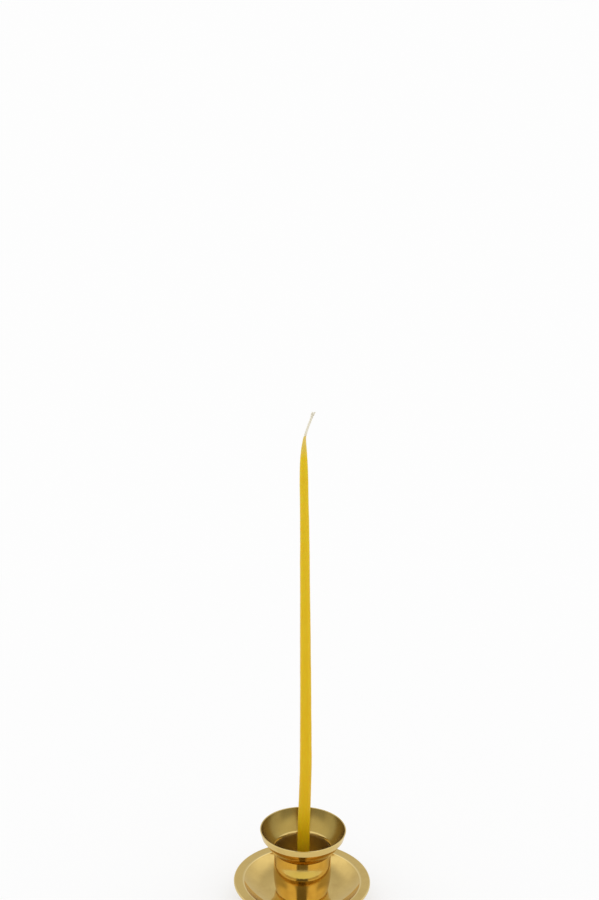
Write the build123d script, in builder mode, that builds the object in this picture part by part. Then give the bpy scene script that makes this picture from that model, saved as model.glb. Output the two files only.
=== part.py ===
from build123d import *
import math
import os

# A slim dipped taper candle that stands in a turned brass cup on a drip pan.
# Millimetres. +Z is up, and the origin is the centre of the foot ring on the table.

# Heights of the holder
foot_height = 4.0
pan_sheet = 1.2
pan_depth = 4.8
cup_height = 28.1
socket_depth = 21.0
pan_floor = foot_height + pan_sheet
rim_top = pan_floor + pan_depth
lip_top = pan_floor + cup_height
socket_floor = lip_top - socket_depth

# Drip pan
pan_radius = 28.0
rim_width = 4.0
rim_edge = 1.0
rim_corner = 0.45
floor_radius = 12.4
dish_brow = 1.0
foot_ring_outer = 21.0
foot_ring_inner = 19.0

# Candle cup: radii, and depths below the top of the lip
foot_radius = 10.6
foot_corner = 0.8
belly_radius = 11.8
belly_depth = 18.5
shoulder_radius = 11.63
shoulder_depth = 14.9
neck_radius = 11.53
neck_depth = 12.7
bowl_foot_radius = 11.77
bowl_foot_depth = 9.3
bowl_outer_middle = (14.7, 6.0)
lip_radius = 17.55
lip_edge = 0.5
lip_corner = 0.18
band_taper = 0.72
band_depth = 2.95
band_step = 0.38
bowl_inner_middle = (15.2, 3.75)
bowl_inner_end = (12.6, 7.0)
bore_radius = 11.0
mouth_depth = 8.6
mouth_brow = 3.0
neck_corner = 0.5
socket_corner = 1.5

# Screw and washer under the pan
shank_radius = 1.98
thread_radius = 2.0
thread_depth = 5.4
pan_hole_radius = 2.2
washer_radius = 4.6
washer_thickness = 0.8
head_radius = 3.5
head_height = 2.4
head_corner = 0.5
slot_width = 1.0
slot_depth = 1.0
shank_length = 7.0

# Candle: where its butt stands, and how its hand-dipped axis wanders sideways with height
butt_x = 0.3
butt_radius = 2.5
butt_length = 6.0
wax_length = 185.6
tip_height = 164.6
tip_radius = 1.67
exit_radius = 0.62
body_fall = 1.45
tip_fall = 2.9
body_sections = 8
tip_sections = 5
axis_bends = [
    (0.0, butt_x),
    (24.0, butt_x),
    (52.0, 0.5),
    (150.0, -1.85),
    (172.0, -2.55),
    (wax_length, -2.65),
]

# Wick: bare at the top, where it leans over and its end has frayed
wick_radius = 0.5
wick_bends = [(189.8, -1.7), (193.6, -0.4), (196.4, 0.5)]
frayed_length = 1.5
frayed_radius = 0.72

# Set wax that holds the butt upright
seat_clearance = 0.1
seat_radius = 6.5
seat_rise = 3.6
seat_edge = 0.4
seat_sag_out = 0.3
seat_sag_up = 0.35

os.makedirs("parts", exist_ok=True)


def finish(piece, name):
    """Name a finished piece and write it to its own file."""
    piece.part.label = name
    export_step(piece.part, f"parts/{name}.step")


def bend_radii(points):
    """Largest arc at each inner point that its two runs leave room for."""
    radii = []
    for before, here, after in zip(points, points[1:], points[2:]):
        run_in = Vector(here) - Vector(before)
        run_out = Vector(after) - Vector(here)
        half_turn = math.radians(run_in.get_angle(run_out)) / 2
        radii.append(0.45 * min(run_in.length, run_out.length) / math.tan(half_turn))
    return radii


def axis_x(height):
    """Sideways place of the candle's axis at a height above its butt."""
    for (low, x_low), (high, x_high) in zip(axis_bends, axis_bends[1:]):
        if height <= high:
            return x_low + (x_high - x_low) * (height - low) / (high - low)
    return axis_bends[-1][1]


def wax_radius(height):
    """Radius of the taper at a height above its butt: a slow fall, then the rounded tip."""
    if height <= tip_height:
        share = max(0.0, height - butt_length) / (tip_height - butt_length)
        return butt_radius - (butt_radius - tip_radius) * share**body_fall
    share = (height - tip_height) / (wax_length - tip_height)
    return tip_radius - (tip_radius - exit_radius) * share**tip_fall


# Drip pan: flat rim round a dished sheet, and a foot ring under it
with BuildPart() as drip_pan:
    rim_inner = pan_radius - rim_width
    rim_under = rim_top - rim_edge
    dish_run = rim_inner - floor_radius
    dish_radius = (dish_run**2 + pan_depth**2) / (2 * pan_depth)
    under_radius = dish_radius + pan_sheet
    under_run = math.sqrt(under_radius**2 - (under_radius - rim_under + foot_height) ** 2)
    under_end = floor_radius + under_run
    with BuildSketch(Plane.XZ):
        with BuildLine():
            TangentArc((floor_radius, pan_floor), (rim_inner, rim_top), tangent=(1, 0))
            FilletPolyline(
                (rim_inner, rim_top),
                (pan_radius, rim_top),
                (pan_radius, rim_under),
                (under_end, rim_under),
                radius=rim_corner,
            )
            TangentArc((floor_radius, foot_height), (under_end, rim_under), tangent=(1, 0))
            Polyline(
                (floor_radius, foot_height),
                (pan_hole_radius, foot_height),
                (pan_hole_radius, pan_floor),
                (floor_radius, pan_floor),
            )
        make_face()
        fillet(vertices().sort_by_distance((rim_inner, rim_top))[0], dish_brow)
        fillet(vertices().sort_by_distance((under_end, rim_under))[0], dish_brow)
    revolve(axis=Axis.Z)
    ring_run = (foot_ring_inner + foot_ring_outer) / 2 - floor_radius
    middle_radius = dish_radius + pan_sheet / 2
    middle_rise = middle_radius - math.sqrt(middle_radius**2 - ring_run**2)
    ring_top = foot_height + pan_sheet / 2 + middle_rise
    with BuildSketch(Plane.XZ):
        with BuildLine():
            FilletPolyline(
                (foot_ring_inner, ring_top),
                (foot_ring_inner, 0),
                (foot_ring_outer, 0),
                (foot_ring_outer, ring_top),
                radius=[0, rim_corner, rim_corner, 0],
                close=True,
            )
        make_face()
    revolve(axis=Axis.Z)
finish(drip_pan, "drip_pan")

# Candle cup: barrel body, hollow neck, bowl with a banded lip, and a blind socket
with BuildPart() as candle_cup:
    bowl_foot = (bowl_foot_radius, lip_top - bowl_foot_depth)
    shoulder = (shoulder_radius, lip_top - shoulder_depth)
    lip_outer = (lip_radius, lip_top)
    lip_inner = (lip_radius - lip_edge, lip_top)
    band_foot = (lip_radius - band_taper, lip_top - band_depth)
    bowl_edge = (lip_radius - band_taper - band_step, lip_top - band_depth)
    bowl_end = (bowl_inner_end[0], lip_top - bowl_inner_end[1])
    with BuildSketch(Plane.XZ):
        with BuildLine():
            ThreePointArc((foot_radius, pan_floor), (belly_radius, lip_top - belly_depth), shoulder)
            ThreePointArc(shoulder, (neck_radius, lip_top - neck_depth), bowl_foot)
            ThreePointArc(bowl_foot, (bowl_outer_middle[0], lip_top - bowl_outer_middle[1]), bowl_edge)
            Polyline(bowl_edge, band_foot, lip_outer, lip_inner)
            ThreePointArc(lip_inner, (bowl_inner_middle[0], lip_top - bowl_inner_middle[1]), bowl_end)
            socket = FilletPolyline(
                bowl_end,
                (bore_radius, lip_top - mouth_depth),
                (bore_radius, socket_floor),
                (0, socket_floor),
                radius=[mouth_brow, socket_corner],
            )
            Polyline(socket @ 1, (0, pan_floor), (foot_radius, pan_floor))
        make_face()
        fillet(vertices().sort_by_distance((foot_radius, pan_floor))[0], foot_corner)
        fillet(vertices().sort_by_distance(bowl_foot)[0], neck_corner)
        fillet(vertices().sort_by_distance(lip_outer)[0], lip_corner)
        fillet(vertices().sort_by_distance(lip_inner)[0], lip_corner)
    revolve(axis=Axis.Z)
    with Locations(Plane((0, 0, pan_floor), z_dir=(0, 0, -1))):
        Hole(thread_radius, depth=thread_depth)
finish(candle_cup, "candle_cup")

# Flat washer against the underside of the pan
with BuildPart() as washer:
    with BuildSketch(Plane.XY.offset(foot_height - washer_thickness)):
        Circle(washer_radius)
        Circle(pan_hole_radius, mode=Mode.SUBTRACT)
    extrude(amount=washer_thickness)
finish(washer, "washer")

# Slotted screw that draws the cup down on the pan
with BuildPart() as cup_screw:
    bearing = foot_height - washer_thickness
    with BuildSketch(Plane.XZ):
        with BuildLine():
            FilletPolyline(
                (0, bearing - head_height),
                (head_radius, bearing - head_height),
                (head_radius, bearing),
                (shank_radius, bearing),
                (shank_radius, bearing + shank_length),
                (0, bearing + shank_length),
                radius=[0, head_corner, 0, 0, 0, 0],
                close=True,
            )
        make_face()
    revolve(axis=Axis.Z)
    with BuildSketch(Plane.XY.offset(bearing - head_height)):
        Rectangle(2 * head_radius, slot_width)
    extrude(amount=slot_depth, mode=Mode.SUBTRACT)
finish(cup_screw, "cup_screw")

# Set wax on the socket floor, drawn up round the butt of the candle
with BuildPart() as wax_seat:
    hole_radius = butt_radius + seat_clearance
    with BuildSketch(Plane((butt_x, 0, socket_floor), x_dir=(1, 0, 0), z_dir=(0, -1, 0))):
        with BuildLine():
            Polyline((hole_radius, seat_rise), (hole_radius, 0), (seat_radius, 0), (seat_radius, seat_edge))
            ThreePointArc(
                (seat_radius, seat_edge),
                (hole_radius + seat_sag_out * (seat_radius - hole_radius), seat_sag_up * seat_rise),
                (hole_radius + seat_edge, seat_rise),
            )
            Line((hole_radius + seat_edge, seat_rise), (hole_radius, seat_rise))
        make_face()
    revolve(axis=Axis((butt_x, 0, 0), (0, 0, 1)))
finish(wax_seat, "wax_seat")

# Wick: one line from the butt to the frayed end, straight runs joined by large arcs
with BuildPart() as wick:
    wick_points = [(x, 0, socket_floor + height) for height, x in axis_bends + wick_bends]
    wick_radii = bend_radii(wick_points)
    with BuildLine():
        wick_path = FilletPolyline(*wick_points, radius=wick_radii)
    wick_end = wick_path @ 1
    wick_heading = wick_path % 1
    with BuildSketch(Plane(wick_path @ 0, z_dir=wick_path % 0)):
        Circle(wick_radius)
    sweep()
    with BuildSketch(Plane(wick_end - wick_heading * frayed_length, z_dir=wick_heading)):
        Circle(wick_radius)
    with BuildSketch(Plane(wick_end, z_dir=wick_heading)):
        Circle(frayed_radius)
    loft()
finish(wick, "wick")

# Wax taper: plain butt, then sections along the wandering axis, with the wick's bore through all of it
with BuildPart() as wax_taper:
    body_step = (tip_height - butt_length) / body_sections
    tip_step = (wax_length - tip_height) / tip_sections
    heights = [butt_length + body_step * step for step in range(body_sections + 1)]
    heights += [tip_height + tip_step * (step + 1) for step in range(tip_sections)]
    with BuildSketch(Plane((butt_x, 0, socket_floor))):
        Circle(butt_radius)
    extrude(amount=butt_length)
    for height in heights:
        with BuildSketch(Plane((axis_x(height), 0, socket_floor + height))):
            Circle(wax_radius(height))
    loft()
    add(wick.part, mode=Mode.SUBTRACT)
finish(wax_taper, "wax_taper")

plain_volume = math.pi * wick_radius**2 * wick_path.length
print("wick bend radii", [round(radius, 1) for radius in wick_radii])
print("wick volume", round(wick.part.volume, 2), "section times length", round(plain_volume, 2))
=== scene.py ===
import math
import random

import bpy
from mathutils import Matrix, Vector, noise


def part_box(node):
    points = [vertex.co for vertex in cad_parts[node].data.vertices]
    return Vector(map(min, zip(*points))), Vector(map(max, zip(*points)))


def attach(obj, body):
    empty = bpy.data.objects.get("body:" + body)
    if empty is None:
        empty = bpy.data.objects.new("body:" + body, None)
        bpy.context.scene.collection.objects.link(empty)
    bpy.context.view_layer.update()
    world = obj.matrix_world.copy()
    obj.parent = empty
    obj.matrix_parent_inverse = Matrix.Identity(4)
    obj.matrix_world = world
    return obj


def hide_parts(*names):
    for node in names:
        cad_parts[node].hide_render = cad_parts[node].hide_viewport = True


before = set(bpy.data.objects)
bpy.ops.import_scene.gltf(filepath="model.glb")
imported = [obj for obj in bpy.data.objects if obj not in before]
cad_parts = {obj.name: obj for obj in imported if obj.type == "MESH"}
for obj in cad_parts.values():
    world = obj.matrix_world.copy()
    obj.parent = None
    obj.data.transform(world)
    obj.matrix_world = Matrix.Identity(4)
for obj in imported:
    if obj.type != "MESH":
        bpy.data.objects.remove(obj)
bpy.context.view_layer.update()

# A slim dipped taper in a turned brass cup on a drip pan. Shapes are written in millimetres and heights
# are taken from the frame.
MM = 0.001
TINY = 1e-6

cup_low, cup_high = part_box("candle_cup")
_, pan_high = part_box("drip_pan")
wax_low, wax_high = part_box("wax_taper")
seat_low, seat_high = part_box("wax_seat")
_, washer_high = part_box("washer")

PAN_FLOOR = cup_low.z / MM
LIP_TOP = cup_high.z / MM
PAN_RADIUS = pan_high.x / MM
RIM_TOP = pan_high.z / MM
PAN_UNDERSIDE = washer_high.z / MM
SOCKET_FLOOR = wax_low.z / MM
BUTT_X = (seat_low.x + seat_high.x) / 2 / MM
WAX_LENGTH = (wax_high.z - wax_low.z) / MM
WAX_TOP = SOCKET_FLOOR + WAX_LENGTH
SEAT_RADIUS = (seat_high.x - seat_low.x) / 2 / MM
SEAT_RISE = (seat_high.z - seat_low.z) / MM

# Candle cup: (radius, height) points of its outline
FOOT = (10.6, PAN_FLOOR)
BELLY = (11.8, LIP_TOP - 18.5)
SHOULDER = (11.63, LIP_TOP - 14.9)
NECK = (11.53, LIP_TOP - 12.7)
BOWL_FOOT = (11.77, LIP_TOP - 9.3)
BOWL_OUTSIDE = (14.7, LIP_TOP - 6.0)
BOWL_EDGE = (16.45, LIP_TOP - 2.95)
BAND_FOOT = (16.83, LIP_TOP - 2.95)
LIP_OUTER = (17.55, LIP_TOP)
LIP_INNER = (17.05, LIP_TOP)
BOWL_INSIDE = (15.2, LIP_TOP - 3.75)
BOWL_END = (12.6, LIP_TOP - 7.0)
MOUTH = (11.0, LIP_TOP - 8.6)
THREAD_RADIUS = 2.0
THREAD_TOP = PAN_FLOOR + 5.4

# Candle cup: radii of its rounded corners
THREAD_CORNER = 0.2
FOOT_CORNER = 0.8
NECK_CORNER = 0.5
BOWL_EDGE_CORNER = 0.08
BAND_CORNER = 0.1
LIP_CORNER = 0.18
MOUTH_BROW = 3.0
SOCKET_CORNER = 1.5

# How far outside the bore the brow's polished strip (a painted highlight) starts, and then the bored finish
BROW_HIGHLIGHT_WIDTH = 0.75
BORE_EDGE = 0.3

# Drip pan
RIM_WIDTH = 4.0
RIM_EDGE = 1.0
RIM_CORNER = 0.45
FLOOR_RADIUS = 12.4
DISH_BROW = 1.0
PAN_SHEET = PAN_FLOOR - PAN_UNDERSIDE
FOOT_RING_OUTER = 21.0
FOOT_RING_INNER = 19.0
RING_GAP = 0.4
RING_DROP_OUTER = 0.4
RING_RISE_INNER = 0.2
RING_ROOT_OUTER = 0.3
RING_ROOT_INNER = 0.2
PAN_HOLE_RADIUS = 2.2
PAN_HOLE_CORNER = 0.15

# Candle
BUTT_RADIUS = 2.5
BUTT_LENGTH = 6.0
BUTT_EDGE = 0.25
BUTT_EDGE_SHARE = 0.9
TIP_HEIGHT = 164.6
TIP_RADIUS = 1.67
EXIT_RADIUS = 0.62
BODY_FALL = 1.45
TIP_FALL = 2.9
FILM_LENGTH = 1.6
PALE_TIP_LENGTH = 7.0
STREAK_STRETCH = (1.0, 1.0, 0.12)
AXIS_BENDS = [
    (0.0, BUTT_X),
    (24.0, BUTT_X),
    (52.0, 0.5),
    (150.0, -1.85),
    (172.0, -2.55),
    (WAX_LENGTH, -2.65),
]

# Swellings from the dipping: broad ones, finer ones, and the run over which they set in
SWELL_ROUND = 0.35
SWELL_PITCH = 11
SWELL_BROAD = 0.03
SWELL_FINE = 0.012
SWELL_FINER = 3.1
SWELL_RUN = 20

# Wick
WICK_BENDS = [(189.8, -1.7), (193.6, -0.4), (196.4, 0.5)]
WICK_TOP = WICK_BENDS[-1][0]
WICK_RADIUS = 0.5
CORE_RADIUS = 0.9 * WICK_RADIUS
CORE_STEP = 3
DRY_LENGTH = 3.0
PLAIT_START = WAX_LENGTH - 3.0
PLAIT_PITCH = 3.0
PLAIT_SWAY = 0.27
PLAIT_DEPTH = 0.16
STRANDS = 3
STRAND_RADIUS = 0.25
FRAY_START = 0.78
FRAY_RUN = 0.22
FRAY_SPREAD = 1.5
FRAY_POWER = 1.5
FRAY_THINNING = 0.25
FIBRES = 34
FIBRE_SEED = 7
FIBRE_START = (0.8, 2.6)
FIBRE_LENGTH = (0.9, 2.0)
FIBRE_LEAN = (0.15, 0.6)
FIBRE_ROOT = 0.32
FIBRE_CURL = 1.6
FIBRE_RADIUS = 0.035
FIBRE_TIP_RADIUS = 0.012
FIBRE_OVERSHOOT = 0.2

# Set wax round the butt
SEAT_HOLE = BUTT_RADIUS + 0.1
SEAT_COLLAR = 0.4
SEAT_EDGE = 0.35
SEAT_SAG_OUT = 0.3
SEAT_SAG_UP = 0.35
SEAT_WAVE = 1.4
SEAT_WAVE_CUT = 2.0
SEAT_UNEVEN = 0.12
SEAT_DRAWN_IN = 0.3

# Colours of the surfaces, as 0 to 255
BRASS = (222, 192, 118)
# Inside the cup the satin and bored colours are darker partly as painted shade
BRASS_SATIN_SHADED = (169, 145, 78)
BRASS_BORED_SHADED = (202, 180, 118)
BRASS_WORN = (236, 212, 150)
BRASS_DULL = (150, 112, 48)
WAX_LOW = (219, 176, 10)
WAX_HIGH = (224, 192, 28)
WAX_TIP = (220, 198, 118)
WAX_CLOUD = (228, 194, 38)
WAX_STREAK = (202, 152, 6)
COTTON = (240, 235, 218)
COTTON_WAXED = (222, 200, 140)
COTTON_SHADE = (208, 197, 172)
STEEL = (172, 170, 166)
STEEL_DULL = (120, 114, 104)
FLOOR = (246, 246, 246)
FLOOR_WARM = (255, 246, 110)
WHITE = (255, 255, 255)

# Mesh density
TURNED_SEGMENTS = 192
WAX_SEGMENTS = 40
WAX_STEP = 0.8
SEAT_SEGMENTS = 96
DISH_STEPS = 24
PLAIT_STEPS = 140
FIBRE_STEPS = 6
STRAND_SIDES = 10
FIBRE_SIDES = 5
CORNER_STEP = math.radians(6)
ARC_STEP = CORNER_STEP / 3
LEAST_CORNER_STEPS = 3
LEAST_ARC_STEPS = 6
SUPPORT = 0.06

# Studio: lengths in metres, and levels as shares of full white
FLOOR_SIDE = 3.0
BACKGROUND_LEVEL = 0.985
AMBIENT_LEVEL = 0.94
MIRRORED_FLOOR_LEVEL = 0.85
SOFTBOX_DISTANCE = 0.8

# Softboxes: name, azimuth from the front towards +X, elevation, width, height and radiance
SOFTBOXES = [
    ("softbox_front_left", -38, 50, 0.4, 0.2, 0.15),
    ("softbox_front_right", 38, 50, 0.4, 0.2, 0.15),
    ("softbox_left", -110, 40, 0.8, 0.6, 0.42),
    ("softbox_right", 110, 40, 0.8, 0.6, 0.42),
]

# Camera: lengths in millimetres and angles in degrees
CAMERA_PLACE = (-4.41, -540.2, LIP_TOP + 322.3)
CAMERA_DIP = 16.657
CAMERA_ROLL = 1.1
SENSOR_HEIGHT = 36.0
LENS = 60.0


# Outlines


def arc_through(start, middle, end):
    """Points of the arc through three points, ends included."""
    (ax, ay), (bx, by), (cx, cy) = start, middle, end
    area = 2 * (ax * (by - cy) + bx * (cy - ay) + cx * (ay - by))
    a2, b2, c2 = ax * ax + ay * ay, bx * bx + by * by, cx * cx + cy * cy
    centre = Vector((
        (a2 * (by - cy) + b2 * (cy - ay) + c2 * (ay - by)) / area,
        (a2 * (cx - bx) + b2 * (ax - cx) + c2 * (bx - ax)) / area,
    ))
    first, second, third = (Vector(point) - centre for point in (start, middle, end))
    turn = first.angle_signed(second) + second.angle_signed(third)
    steps = max(LEAST_ARC_STEPS, math.ceil(abs(turn) / ARC_STEP))
    return [tuple(centre + Matrix.Rotation(-turn * step / steps, 2) @ first) for step in range(steps + 1)]


def rounded(points, radii):
    """A line of straight runs whose inner corners are rounded, with support points beside each rounding."""
    made = [points[0]]
    for before, corner, after, radius in zip(points, points[1:], points[2:], radii):
        here = Vector(corner)
        back = (Vector(before) - here).normalized()
        on = (Vector(after) - here).normalized()
        turn = math.pi - back.angle(on)
        reach = radius * math.tan(turn / 2)
        start, end = here + back * reach, here + on * reach
        centre = here + (back + on).normalized() * (radius / math.cos(turn / 2))
        side = (start - centre).angle_signed(end - centre)
        steps = max(LEAST_CORNER_STEPS, math.ceil(turn / CORNER_STEP))
        made.append(tuple(start + back * SUPPORT))
        made += [
            tuple(centre + Matrix.Rotation(-side * step / steps, 2) @ (start - centre))
            for step in range(steps + 1)
        ]
        made.append(tuple(end + on * SUPPORT))
    return made + [points[-1]]


def joined(line, run, radius):
    """A line of points carried on by a run that starts at its end, with the corner between them rounded."""
    corner = Vector(run[0])
    turn = (corner - Vector(line[-2])).angle(Vector(run[1]) - corner)
    reach = radius * math.tan(turn / 2) + SUPPORT
    before = [point for point in line if (Vector(point) - corner).length > reach]
    after = [point for point in run if (Vector(point) - corner).length > reach]
    return before[:-1] + rounded([before[-1], run[0], after[0]], [radius]) + after[1:]


def wear_along(profile, closed):
    """How sharply the outline turns at each point: above 0 on outer edges, below 0 in hollows."""
    count = len(profile)
    wear = []
    for index in range(count):
        before = Vector(profile[index - 1] if index or closed else profile[0])
        here = Vector(profile[index])
        after = Vector(profile[(index + 1) % count] if index + 1 < count or closed else profile[-1])
        run_in, run_out = here - before, after - here
        if run_in.length < TINY or run_out.length < TINY:
            wear.append(0.0)
            continue
        turn = -run_in.angle_signed(run_out)
        wear.append(max(-1.0, min(1.0, turn / (run_in.length + run_out.length) * 2)))
    return wear


def smooth_line(bends, height):
    """Sideways place at a height on a smooth line through (height, x) points."""
    index = max(1, min(len(bends) - 1, sum(1 for bend in bends if bend[0] <= height)))
    (low, x_low), (high, x_high) = bends[index - 1], bends[index]
    before = bends[max(0, index - 2)]
    after = bends[min(len(bends) - 1, index + 1)]
    slope_low = (x_high - before[1]) / (high - before[0])
    slope_high = (after[1] - x_low) / (after[0] - low)
    share = (height - low) / (high - low)
    span = high - low
    return (
        (2 * share**3 - 3 * share**2 + 1) * x_low
        + (share**3 - 2 * share**2 + share) * span * slope_low
        + (3 * share**2 - 2 * share**3) * x_high
        + (share**3 - share**2) * span * slope_high
    )


def candle_x(height):
    """Sideways place of the wick, inside the wax and above it."""
    return smooth_line(AXIS_BENDS + WICK_BENDS, height)


def wick_point(height):
    """Place of the wick's middle at a height above the socket floor."""
    return Vector((candle_x(height), 0.0, SOCKET_FLOOR + height))


def wax_radius(height):
    """Radius of the taper: a slow fall, the rounded tip, and the film that runs up the wick."""
    if height <= TIP_HEIGHT:
        share = max(0.0, height - BUTT_LENGTH) / (TIP_HEIGHT - BUTT_LENGTH)
        return BUTT_RADIUS - (BUTT_RADIUS - TIP_RADIUS) * share**BODY_FALL
    if height <= WAX_LENGTH:
        share = (height - TIP_HEIGHT) / (WAX_LENGTH - TIP_HEIGHT)
        return TIP_RADIUS - (TIP_RADIUS - EXIT_RADIUS) * share**TIP_FALL
    share = (height - WAX_LENGTH) / FILM_LENGTH
    return EXIT_RADIUS - (EXIT_RADIUS - CORE_RADIUS) * share


# Meshes


def add_piece(name, points, faces, body, node):
    """A smooth mesh piece that rides on a body and stands for a CAD node."""
    mesh = bpy.data.meshes.new(name)
    mesh.from_pydata([tuple(Vector(point) * MM) for point in points], [], faces)
    mesh.shade_smooth()
    piece = bpy.data.objects.new(name, mesh)
    bpy.context.scene.collection.objects.link(piece)
    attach(piece, body)
    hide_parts(node)
    return piece


def lathe(name, profile, body, node, closed):
    """Turns an outline of (radius, height) points about Z. An open outline starts and ends on the axis."""
    points, rings, wear = [], [], []
    for (radius, height), worn in zip(profile, wear_along(profile, closed)):
        count = TURNED_SEGMENTS if radius > TINY else 1
        rings.append(range(len(points), len(points) + count))
        for step in range(count):
            angle = 2 * math.pi * step / TURNED_SEGMENTS
            points.append((radius * math.cos(angle), radius * math.sin(angle), height))
            wear.append(worn)
    faces = []
    for low, high in zip(rings, rings[1:] + rings[:1] if closed else rings[1:]):
        for step in range(TURNED_SEGMENTS):
            following = (step + 1) % TURNED_SEGMENTS
            corners = [low[step % len(low)], low[following % len(low)]]
            corners += [high[following % len(high)], high[step % len(high)]]
            faces.append(list(dict.fromkeys(corners)))
    piece = add_piece(name, points, faces, body, node)
    piece.data.attributes.new("wear", "FLOAT", "POINT").data.foreach_set("value", wear)
    return piece


def tube_faces(base, rings, sides):
    """Faces of a tube whose points lie ring after ring, with both ends closed."""
    faces = []
    for ring in range(rings - 1):
        low, high = base + ring * sides, base + (ring + 1) * sides
        for step in range(sides):
            following = (step + 1) % sides
            faces.append([low + step, low + following, high + following, high + step])
    last = base + (rings - 1) * sides
    faces.append([base + step for step in reversed(range(sides))])
    faces.append([last + step for step in range(sides)])
    return faces


def add_tube(points, faces, path, radii, sides):
    """Adds a closed tube along a path, with a radius at each of its points."""
    base = len(points)
    for index, here in enumerate(path):
        before, after = path[max(0, index - 1)], path[min(len(path) - 1, index + 1)]
        heading = (after - before).normalized()
        across = heading.cross(Vector((0, 1, 0))).normalized()
        aside = heading.cross(across)
        for step in range(sides):
            angle = 2 * math.pi * step / sides
            points.append(here + (across * math.cos(angle) + aside * math.sin(angle)) * radii[index])
    faces += tube_faces(base, len(path), sides)


# Materials


def linear(colour):
    """A colour written as 0 to 255, as the linear values that a shader takes."""
    shares = [channel / 255 for channel in colour]
    values = [share / 12.92 if share <= 0.04045 else ((share + 0.055) / 1.055) ** 2.4 for share in shares]
    return (*values, 1.0)


def add_node(tree, kind, inputs=None, **settings):
    """A shader node with its settings, and with its inputs set or linked."""
    made = tree.nodes.new(kind)
    for key, value in settings.items():
        setattr(made, key, value)
    for key, value in (inputs or {}).items():
        if isinstance(value, bpy.types.NodeSocket):
            tree.links.new(value, made.inputs[key])
        else:
            made.inputs[key].default_value = value
    return made


def new_material(name):
    """An empty node material with its shader, and the place on the object in metres."""
    material = bpy.data.materials.new(name)
    material.use_nodes = True
    tree = material.node_tree
    shader = tree.nodes["Principled BSDF"]
    place = add_node(tree, "ShaderNodeTexCoord").outputs["Object"]
    return material, tree, shader, place


def worked(tree, operation, *values):
    """The result of an operation on one to three values."""
    return add_node(tree, "ShaderNodeMath", dict(enumerate(values)), operation=operation).outputs["Value"]


def split_axes(tree, vector):
    """The X, Y and Z of a vector."""
    split = add_node(tree, "ShaderNodeSeparateXYZ", {"Vector": vector})
    return [split.outputs[axis] for axis in "XYZ"]


def length_of(tree, vector):
    """The length of a vector."""
    return add_node(tree, "ShaderNodeVectorMath", {0: vector}, operation="LENGTH").outputs["Value"]


def noise_value(tree, vector, scale, detail=3.0, roughness=0.5):
    """Noise between 0 and 1 over the given place, with that many grains to the metre."""
    inputs = {"Vector": vector, "Scale": scale, "Detail": detail, "Roughness": roughness}
    return add_node(tree, "ShaderNodeTexNoise", inputs).outputs["Fac"]


def turning_marks(tree, place, scale):
    """Noise that runs in rings about the Z axis, as a lathe tool leaves it."""
    across, along, up = split_axes(tree, place)
    flat = add_node(tree, "ShaderNodeCombineXYZ", {"X": across, "Y": along}).outputs["Vector"]
    rings = add_node(tree, "ShaderNodeCombineXYZ", {"X": length_of(tree, flat), "Y": up})
    return noise_value(tree, rings.outputs["Vector"], scale, detail=2.0)


def mapped(tree, value, low, high, to_low, to_high):
    """A value carried from one range to another and kept inside it."""
    inputs = {"Value": value, "From Min": low, "From Max": high, "To Min": to_low, "To Max": to_high}
    return add_node(tree, "ShaderNodeMapRange", inputs).outputs["Result"]


def mixed(tree, factor, first, second):
    """Two colours mixed by a factor. Either colour may be a socket or a colour written as 0 to 255."""
    made = add_node(tree, "ShaderNodeMix", data_type="RGBA")
    tree.links.new(factor, made.inputs["Factor"])
    for name, colour in (("A", first), ("B", second)):
        socket = [entry for entry in made.inputs if entry.name == name and entry.type == "RGBA"][0]
        if isinstance(colour, bpy.types.NodeSocket):
            tree.links.new(colour, socket)
        else:
            socket.default_value = linear(colour)
    return [entry for entry in made.outputs if entry.type == "RGBA"][0]


def set_surface(tree, shader, colour, roughness, relief, strength, depth):
    """Links a colour, a roughness and a relief of some depth in millimetres to the shader."""
    inputs = {"Height": relief, "Strength": strength, "Distance": depth * MM}
    bump = add_node(tree, "ShaderNodeBump", inputs)
    tree.links.new(colour, shader.inputs["Base Color"])
    tree.links.new(bump.outputs["Normal"], shader.inputs["Normal"])
    if isinstance(roughness, bpy.types.NodeSocket):
        tree.links.new(roughness, shader.inputs["Roughness"])
    else:
        shader.inputs["Roughness"].default_value = roughness


def brass_material(name, clean, gloss_low, gloss_high):
    """Turned brass: fine rings from the lathe, rubbed edges, dull hollows and faint smears."""
    material, tree, shader, place = new_material(name)
    turning = turning_marks(tree, place, scale=5200.0)
    smears = noise_value(tree, place, scale=160.0, detail=4.0, roughness=0.6)
    specks = noise_value(tree, place, scale=1900.0, detail=2.0)
    wear = add_node(tree, "ShaderNodeAttribute", attribute_name="wear").outputs["Fac"]

    stained = mapped(tree, smears, 0.45, 0.8, 0.0, 0.22)
    dull = mapped(tree, wear, -0.5, -0.02, 0.75, 0.0)
    rubbed = mapped(tree, wear, 0.15, 1.0, 0.0, 0.7)
    colour = mixed(tree, stained, clean, BRASS_DULL)
    colour = mixed(tree, dull, colour, BRASS_DULL)
    colour = mixed(tree, rubbed, colour, BRASS_WORN)

    smeared = mapped(tree, smears, 0.3, 0.75, gloss_low, gloss_high)
    relief = worked(tree, "ADD", turning, specks)
    set_surface(tree, shader, colour, smeared, relief, strength=0.05, depth=0.03)
    shader.inputs["Metallic"].default_value = 1.0
    return material


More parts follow.
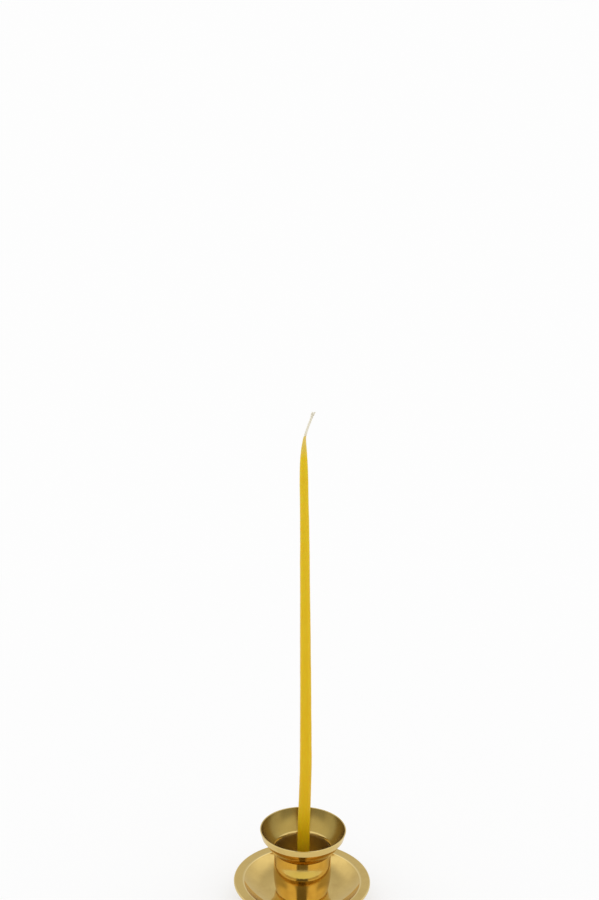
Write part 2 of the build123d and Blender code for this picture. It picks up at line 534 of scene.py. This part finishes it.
def wax_material():
    """Dyed wax: deeper low down, paler towards the wick, with faint streaks from the dipping."""
    material, tree, shader, place = new_material("dyed_wax")
    height = split_axes(tree, place)[2]
    rise = mapped(tree, height, SOCKET_FLOOR * MM, WAX_TOP * MM, 0.0, 1.0)
    tip = mapped(tree, height, (WAX_TOP - PALE_TIP_LENGTH) * MM, (WAX_TOP + FILM_LENGTH) * MM, 0.0, 1.0)
    stretched = add_node(tree, "ShaderNodeMapping", {"Vector": place, "Scale": STREAK_STRETCH})
    streaks = noise_value(tree, stretched.outputs["Vector"], scale=900.0)
    clouds = noise_value(tree, place, scale=130.0)
    pores = noise_value(tree, place, scale=2600.0, detail=2.0)

    cloudy = mapped(tree, clouds, 0.35, 0.75, 0.0, 0.22)
    streaky = mapped(tree, streaks, 0.5, 0.8, 0.0, 0.18)
    colour = mixed(tree, rise, WAX_LOW, WAX_HIGH)
    colour = mixed(tree, tip, colour, WAX_TIP)
    colour = mixed(tree, cloudy, colour, WAX_CLOUD)
    colour = mixed(tree, streaky, colour, WAX_STREAK)

    satin = mapped(tree, clouds, 0.3, 0.7, 0.34, 0.48)
    relief = worked(tree, "ADD", streaks, pores)
    set_surface(tree, shader, colour, satin, relief, strength=0.22, depth=0.06)
    shader.inputs["Subsurface Weight"].default_value = 0.35
    shader.inputs["Subsurface Radius"].default_value = (1.0, 0.55, 0.12)
    shader.inputs["Subsurface Scale"].default_value = 1.2 * MM
    shader.inputs["Specular IOR Level"].default_value = 0.18
    return material


def cotton_material():
    """Plaited cotton, soaked with wax near the candle and dry at its end."""
    material, tree, shader, place = new_material("cotton_wick")
    height = split_axes(tree, place)[2]
    dry = mapped(tree, height, WAX_TOP * MM, (WAX_TOP + DRY_LENGTH) * MM, 0.0, 1.0)
    fibres = noise_value(tree, place, scale=7000.0)
    shade = mapped(tree, fibres, 0.35, 0.7, 0.0, 0.4)
    colour = mixed(tree, dry, COTTON_WAXED, COTTON)
    colour = mixed(tree, shade, colour, COTTON_SHADE)
    set_surface(tree, shader, colour, 0.85, fibres, strength=0.5, depth=0.04)
    shader.inputs["Sheen Weight"].default_value = 0.3
    return material


def steel_material():
    """Plain turned steel with fine rings and a few dull spots."""
    material, tree, shader, place = new_material("turned_steel")
    turning = turning_marks(tree, place, scale=6000.0)
    spots = noise_value(tree, place, scale=700.0)
    spotted = mapped(tree, spots, 0.5, 0.8, 0.0, 0.5)
    colour = mixed(tree, spotted, STEEL, STEEL_DULL)
    satin = mapped(tree, spots, 0.3, 0.7, 0.25, 0.42)
    set_surface(tree, shader, colour, satin, turning, strength=0.15, depth=0.03)
    shader.inputs["Metallic"].default_value = 1.0
    return material


# Pieces


def make_cup(polished, satin, bored_and_shaded):
    """The turned cup: barrel body, hollow neck, bowl with a banded lip, socket and tapped hole."""
    hole = [(0.0, THREAD_TOP), (THREAD_RADIUS, THREAD_TOP), (THREAD_RADIUS, PAN_FLOOR), FOOT]
    socket = [BOWL_END, MOUTH, (MOUTH[0], SOCKET_FLOOR), (0.0, SOCKET_FLOOR)]
    profile = rounded(hole, [THREAD_CORNER, THREAD_CORNER])
    profile = joined(profile, arc_through(FOOT, BELLY, SHOULDER), FOOT_CORNER)
    profile += arc_through(SHOULDER, NECK, BOWL_FOOT)[1:]
    profile = joined(profile, arc_through(BOWL_FOOT, BOWL_OUTSIDE, BOWL_EDGE), NECK_CORNER)
    profile = joined(profile, [BOWL_EDGE, BAND_FOOT], BOWL_EDGE_CORNER)
    profile = joined(profile, [BAND_FOOT, LIP_OUTER], BAND_CORNER)
    profile = joined(profile, [LIP_OUTER, LIP_INNER], LIP_CORNER)
    outside = len(profile)
    profile = joined(profile, arc_through(LIP_INNER, BOWL_INSIDE, BOWL_END), LIP_CORNER)
    profile += rounded(socket, [MOUTH_BROW, SOCKET_CORNER])[1:]
    cup = lathe("turned_cup", profile, "holder", "candle_cup", closed=False)

    # The brow between them keeps the bright polished brass as a painted highlight.
    # The darker satin brass in the bowl and bored brass in the socket are partly painted shade.
    for material in (polished, satin, bored_and_shaded):
        cup.data.materials.append(material)
    brow, bore = (
        next(index for index in range(outside, len(profile)) if profile[index][0] < MOUTH[0] + width)
        for width in (BROW_HIGHLIGHT_WIDTH, BORE_EDGE)
    )
    for first, last, material_index in ((outside, brow, 1), (bore, len(profile), 2)):
        for face in cup.data.polygons[first * TURNED_SEGMENTS:last * TURNED_SEGMENTS]:
            face.material_index = material_index


def dish_arc(floor, radius, rise):
    """Points of the dished sheet's curve, from the flat floor up to a height."""
    sweep = math.acos(1 - rise / radius)
    angles = [sweep * step / DISH_STEPS for step in range(DISH_STEPS + 1)]
    return [
        (FLOOR_RADIUS + radius * math.sin(angle), floor + radius * (1 - math.cos(angle)))
        for angle in angles
    ]


def make_pan(material):
    """The drip pan: flat rim, dished sheet and foot ring."""
    depth = RIM_TOP - PAN_FLOOR
    run = PAN_RADIUS - RIM_WIDTH - FLOOR_RADIUS
    radius = (run**2 + depth**2) / (2 * depth)
    rim_under = RIM_TOP - RIM_EDGE
    dish = dish_arc(PAN_FLOOR, radius, depth)
    under = dish_arc(PAN_UNDERSIDE, radius + PAN_SHEET, rim_under - PAN_UNDERSIDE)[::-1]
    outer_part = [point for point in under if point[0] > FOOT_RING_OUTER + RING_GAP]
    inner_part = [point for point in under if point[0] < FOOT_RING_INNER - RING_GAP]
    rim = rounded(
        [dish[-2], dish[-1], (PAN_RADIUS, RIM_TOP), (PAN_RADIUS, rim_under), outer_part[0], outer_part[1]],
        [DISH_BROW, RIM_CORNER, RIM_CORNER, DISH_BROW],
    )
    ring = rounded(
        [
            outer_part[-1],
            (FOOT_RING_OUTER, outer_part[-1][1] - RING_DROP_OUTER),
            (FOOT_RING_OUTER, 0.0),
            (FOOT_RING_INNER, 0.0),
            (FOOT_RING_INNER, inner_part[0][1] + RING_RISE_INNER),
            inner_part[0],
        ],
        [RING_ROOT_OUTER, RIM_CORNER, RIM_CORNER, RING_ROOT_INNER],
    )
    hole = rounded(
        [
            (FLOOR_RADIUS, PAN_UNDERSIDE),
            (PAN_HOLE_RADIUS, PAN_UNDERSIDE),
            (PAN_HOLE_RADIUS, PAN_FLOOR),
            (FLOOR_RADIUS, PAN_FLOOR),
        ],
        [PAN_HOLE_CORNER, PAN_HOLE_CORNER],
    )
    outline = dish[:-2] + rim[:-1] + outer_part[1:-1] + ring + inner_part[1:-1] + hole[:-1]
    pan = lathe("turned_pan", outline[::-1], "holder", "drip_pan", closed=True)
    pan.data.materials.append(material)


def make_taper(material):
    """The dipped taper: rings along its wandering axis, a little uneven above the plain butt."""
    top = WAX_LENGTH + FILM_LENGTH
    heights = [0.0, 0.0, BUTT_EDGE]
    while heights[-1] < top:
        heights.append(heights[-1] + WAX_STEP)
    heights[-1] = top
    points = []
    for index, height in enumerate(heights):
        radius = wax_radius(height) * (1 if index else BUTT_EDGE_SHARE)
        uneven = max(0.0, min(1.0, (height - 2 * BUTT_LENGTH) / SWELL_RUN))
        for step in range(WAX_SEGMENTS):
            angle = 2 * math.pi * step / WAX_SEGMENTS
            across, along = math.cos(angle) * SWELL_ROUND, math.sin(angle) * SWELL_ROUND
            spot = Vector((across, along, height / SWELL_PITCH))
            swelling = SWELL_BROAD * noise.noise(spot) + SWELL_FINE * noise.noise(spot * SWELL_FINER)
            reach = radius * (1 + uneven * swelling)
            points.append((
                candle_x(height) + reach * math.cos(angle),
                reach * math.sin(angle),
                SOCKET_FLOOR + height,
            ))
    faces = tube_faces(0, len(heights), WAX_SEGMENTS)
    taper = add_piece("dipped_taper", points, faces, "candle", "wax_taper")
    taper.data.materials.append(material)


def add_strand(points, faces, strand):
    """One strand of the plait above the wax, which spreads and thins at its frayed end."""
    path, radii = [], []
    for step in range(PLAIT_STEPS + 1):
        share = step / PLAIT_STEPS
        height = PLAIT_START + (WICK_TOP - PLAIT_START) * share
        phase = 2 * math.pi * ((height - PLAIT_START) / PLAIT_PITCH + strand / STRANDS)
        fray = max(0.0, (share - FRAY_START) / FRAY_RUN)
        spread = 1 + FRAY_SPREAD * fray**FRAY_POWER
        sideways = PLAIT_SWAY * spread * math.sin(phase)
        inwards = PLAIT_DEPTH * spread * math.sin(2 * phase)
        path.append(wick_point(height) + Vector((sideways, inwards, 0.0)))
        radii.append(STRAND_RADIUS * (1 - FRAY_THINNING * fray))
    add_tube(points, faces, path, radii, STRAND_SIDES)


def add_fibre(points, faces, draw):
    """One loose fibre at the frayed end, which leans outwards."""
    angle = draw.uniform(0, 2 * math.pi)
    low = WICK_TOP - draw.uniform(*FIBRE_START)
    length = draw.uniform(*FIBRE_LENGTH)
    lean = draw.uniform(*FIBRE_LEAN)
    path = []
    for step in range(FIBRE_STEPS + 1):
        share = step / FIBRE_STEPS
        height = low + length * share
        out = FIBRE_ROOT + lean * share**FIBRE_CURL
        rise = SOCKET_FLOOR + min(height, WICK_TOP + FIBRE_OVERSHOOT)
        centre = Vector((candle_x(min(height, WICK_TOP)), 0.0, rise))
        path.append(centre + Vector((out * math.cos(angle), out * math.sin(angle), 0.0)))
    add_tube(points, faces, path, [FIBRE_RADIUS] * FIBRE_STEPS + [FIBRE_TIP_RADIUS], FIBRE_SIDES)


def make_wick(material):
    """The wick: a plain core in the wax, a plait of strands above it, and a frayed end."""
    points, faces = [], []
    core = [wick_point(height) for height in range(0, int(WAX_LENGTH), CORE_STEP)]
    add_tube(points, faces, core, [CORE_RADIUS] * len(core), STRAND_SIDES)
    for strand in range(STRANDS):
        add_strand(points, faces, strand)
    draw = random.Random(FIBRE_SEED)
    for _ in range(FIBRES):
        add_fibre(points, faces, draw)
    wick = add_piece("plaited_wick", points, faces, "candle", "wick")
    wick.data.materials.append(material)


def make_seat(material):
    """Set wax on the socket floor, drawn up round the butt, with an uneven edge."""
    width = SEAT_RADIUS - SEAT_HOLE
    slope = arc_through(
        (SEAT_HOLE + SEAT_COLLAR, SEAT_RISE),
        (SEAT_HOLE + SEAT_SAG_OUT * width, SEAT_SAG_UP * SEAT_RISE),
        (SEAT_RADIUS, SEAT_EDGE),
    )
    outline = [(SEAT_HOLE, 0.0), (SEAT_HOLE, SEAT_RISE)] + slope + [(SEAT_RADIUS, 0.0)]
    rings = len(outline)
    points, faces = [], []
    for radius, height in outline:
        free = max(0.0, (radius - SEAT_HOLE - SEAT_COLLAR) / width)
        for step in range(SEAT_SEGMENTS):
            angle = 2 * math.pi * step / SEAT_SEGMENTS
            spot = Vector((math.cos(angle) * SEAT_WAVE, math.sin(angle) * SEAT_WAVE, SEAT_WAVE_CUT))
            reach = radius * (1 + SEAT_UNEVEN * free * (noise.noise(spot) - SEAT_DRAWN_IN))
            points.append((BUTT_X + reach * math.cos(angle), reach * math.sin(angle), SOCKET_FLOOR + height))
    for ring in range(rings):
        low, high = ring * SEAT_SEGMENTS, (ring + 1) % rings * SEAT_SEGMENTS
        for step in range(SEAT_SEGMENTS):
            following = (step + 1) % SEAT_SEGMENTS
            faces.append([low + following, low + step, high + step, high + following])
    seat = add_piece("set_wax", points, faces, "holder", "wax_seat")
    seat.data.materials.append(material)


def dress_fasteners(material):
    """The screw and washer keep their CAD shapes and get a turned steel finish."""
    for name in ("cup_screw", "washer"):
        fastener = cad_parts[name]
        fastener.data.materials.clear()
        fastener.data.materials.append(material)


# Studio


def make_floor():
    """A pale floor that keeps the shadow, shows white to the camera and is mirrored warm in front."""
    corners = [(-FLOOR_SIDE, -FLOOR_SIDE, 0), (FLOOR_SIDE, -FLOOR_SIDE, 0)]
    corners += [(FLOOR_SIDE, FLOOR_SIDE, 0), (-FLOOR_SIDE, FLOOR_SIDE, 0)]
    mesh = bpy.data.meshes.new("floor")
    mesh.from_pydata(corners, [], [[0, 1, 2, 3]])
    floor = bpy.data.objects.new("floor", mesh)
    bpy.context.scene.collection.objects.link(floor)
    material = bpy.data.materials.new("pale_floor")
    material.use_nodes = True
    tree = material.node_tree
    tree.nodes.clear()

    rays = add_node(tree, "ShaderNodeLightPath").outputs
    seen = worked(tree, "MAXIMUM", rays["Is Camera Ray"], rays["Is Glossy Ray"])
    seen = worked(tree, "MAXIMUM", seen, rays["Is Transmission Ray"])
    place = add_node(tree, "ShaderNodeTexCoord").outputs["Object"]
    distance = length_of(tree, place)
    forward = split_axes(tree, place)[1]
    plain = mapped(tree, distance, 0.06, 0.4, 0.6, 1.0)
    share = worked(tree, "MULTIPLY", seen, plain)

    far = mapped(tree, distance, 0.04, 0.046, 0.0, 1.0)
    in_front = mapped(tree, forward, -0.05, 0.03, 1.0, 0.0)
    warm = worked(tree, "MULTIPLY", rays["Is Glossy Ray"], far)
    warm = worked(tree, "MULTIPLY", warm, in_front)
    colour = mixed(tree, warm, WHITE, FLOOR_WARM)
    strength = mapped(tree, rays["Is Glossy Ray"], 0.0, 1.0, BACKGROUND_LEVEL, MIRRORED_FLOOR_LEVEL)
    matt = add_node(tree, "ShaderNodeBsdfDiffuse", {"Color": linear(FLOOR)})
    white = add_node(tree, "ShaderNodeEmission", {"Color": colour, "Strength": strength})
    shaders = {0: share, 1: matt.outputs["BSDF"], 2: white.outputs["Emission"]}
    shown = add_node(tree, "ShaderNodeMixShader", shaders).outputs["Shader"]
    add_node(tree, "ShaderNodeOutputMaterial", {"Surface": shown})
    floor.data.materials.append(material)


def mirrored_studio(tree):
    """What metal mirrors: a pale tent, side panels, a window at the front and a dark slit in that window."""
    direction = add_node(tree, "ShaderNodeTexCoord").outputs["Generated"]
    across, along, up = split_axes(tree, direction)
    aside = worked(tree, "ABSOLUTE", across)
    slit_reach = mapped(tree, along, -0.8, 0.45, 0.34, -0.02)
    window_reach = mapped(tree, along, -0.4, 0.42, 0.89, -0.08)
    slit = mapped(tree, worked(tree, "SUBTRACT", slit_reach, aside), -0.02, 0.02, 1.0, 0.2)
    front = mapped(tree, worked(tree, "SUBTRACT", window_reach, aside), -0.06, 0.06, 0.0, 1.0)

    panel = mapped(tree, aside, 0.3, 0.5, 0.0, 1.0)
    panel = worked(tree, "MULTIPLY", panel, mapped(tree, along, 0.15, 0.95, 0.5, 0.0))
    panel = worked(tree, "MULTIPLY", panel, mapped(tree, up, 0.35, 0.65, 0.3, 1.0))
    tent = worked(tree, "ADD", mapped(tree, up, 0.5, 0.7, 0.72, 0.62), panel)
    window = mapped(tree, up, 0.38, 0.58, 0.55, 1.2)
    rise = worked(tree, "SUBTRACT", window, tent)
    studio = worked(tree, "MULTIPLY_ADD", rise, front, tent)
    return worked(tree, "MULTIPLY", studio, slit)


def white_background(tree, strength):
    """A white background of some strength."""
    made = add_node(tree, "ShaderNodeBackground", {"Color": linear(WHITE), "Strength": strength})
    return made.outputs["Background"]


def make_world():
    """White behind the object, softer as a light, and a studio for metal to mirror."""
    world = bpy.data.worlds.new("studio")
    bpy.context.scene.world = world
    world.use_nodes = True
    tree = world.node_tree
    tree.nodes.clear()
    rays = add_node(tree, "ShaderNodeLightPath").outputs
    shiny = worked(tree, "MAXIMUM", rays["Is Glossy Ray"], rays["Is Transmission Ray"])
    reflected = white_background(tree, mirrored_studio(tree))
    ambient = white_background(tree, AMBIENT_LEVEL)
    white = white_background(tree, BACKGROUND_LEVEL)
    lit = add_node(tree, "ShaderNodeMixShader", {0: shiny, 1: ambient, 2: reflected}).outputs["Shader"]
    shown = add_node(tree, "ShaderNodeMixShader", {0: rays["Is Camera Ray"], 1: lit, 2: white})
    add_node(tree, "ShaderNodeOutputWorld", {"Surface": shown.outputs["Shader"]})


def make_softbox(name, azimuth, elevation, width, height, radiance):
    """A soft area light that faces the cup, and that neither the camera nor metal shows."""
    target = Vector((0, 0, LIP_TOP * MM))
    flat = math.cos(math.radians(elevation)) * SOFTBOX_DISTANCE
    place = target + Vector((
        flat * math.sin(math.radians(azimuth)),
        -flat * math.cos(math.radians(azimuth)),
        math.sin(math.radians(elevation)) * SOFTBOX_DISTANCE,
    ))
    light = bpy.data.lights.new(name, "AREA")
    light.shape = "RECTANGLE"
    light.size = width
    light.size_y = height
    light.energy = radiance * math.pi * width * height
    softbox = bpy.data.objects.new(name, light)
    softbox.location = place
    softbox.rotation_euler = (target - place).to_track_quat("-Z", "Y").to_euler()
    softbox.visible_camera = False
    softbox.visible_glossy = False
    bpy.context.scene.collection.objects.link(softbox)


def make_camera():
    """The photograph's view: a long lens from the front and above, rolled slightly."""
    data = bpy.data.cameras.new("camera")
    data.sensor_fit = "VERTICAL"
    data.sensor_height = SENSOR_HEIGHT
    data.lens = LENS
    camera = bpy.data.objects.new("camera", data)
    place = Matrix.Translation(Vector(CAMERA_PLACE) * MM)
    pitch = Matrix.Rotation(math.radians(90 - CAMERA_DIP), 4, "X")
    roll = Matrix.Rotation(math.radians(CAMERA_ROLL), 4, "Z")
    camera.matrix_world = place @ pitch @ roll
    bpy.context.scene.collection.objects.link(camera)
    bpy.context.scene.camera = camera


polished_brass = brass_material("polished_brass", BRASS, gloss_low=0.06, gloss_high=0.14)
# The satin and bored copies are darker partly as painted shade inside the cup
satin_shaded_brass = brass_material("satin_shaded_brass", BRASS_SATIN_SHADED, gloss_low=0.2, gloss_high=0.28)
bored_shaded_brass = brass_material("bored_shaded_brass", BRASS_BORED_SHADED, gloss_low=0.4, gloss_high=0.5)
wax = wax_material()
make_cup(polished_brass, satin_shaded_brass, bored_shaded_brass)
make_pan(polished_brass)
make_taper(wax)
make_wick(cotton_material())
make_seat(wax)
dress_fasteners(steel_material())

make_floor()
make_world()
for softbox in SOFTBOXES:
    make_softbox(*softbox)
make_camera()
bpy.context.scene.view_settings.view_transform = "Standard"
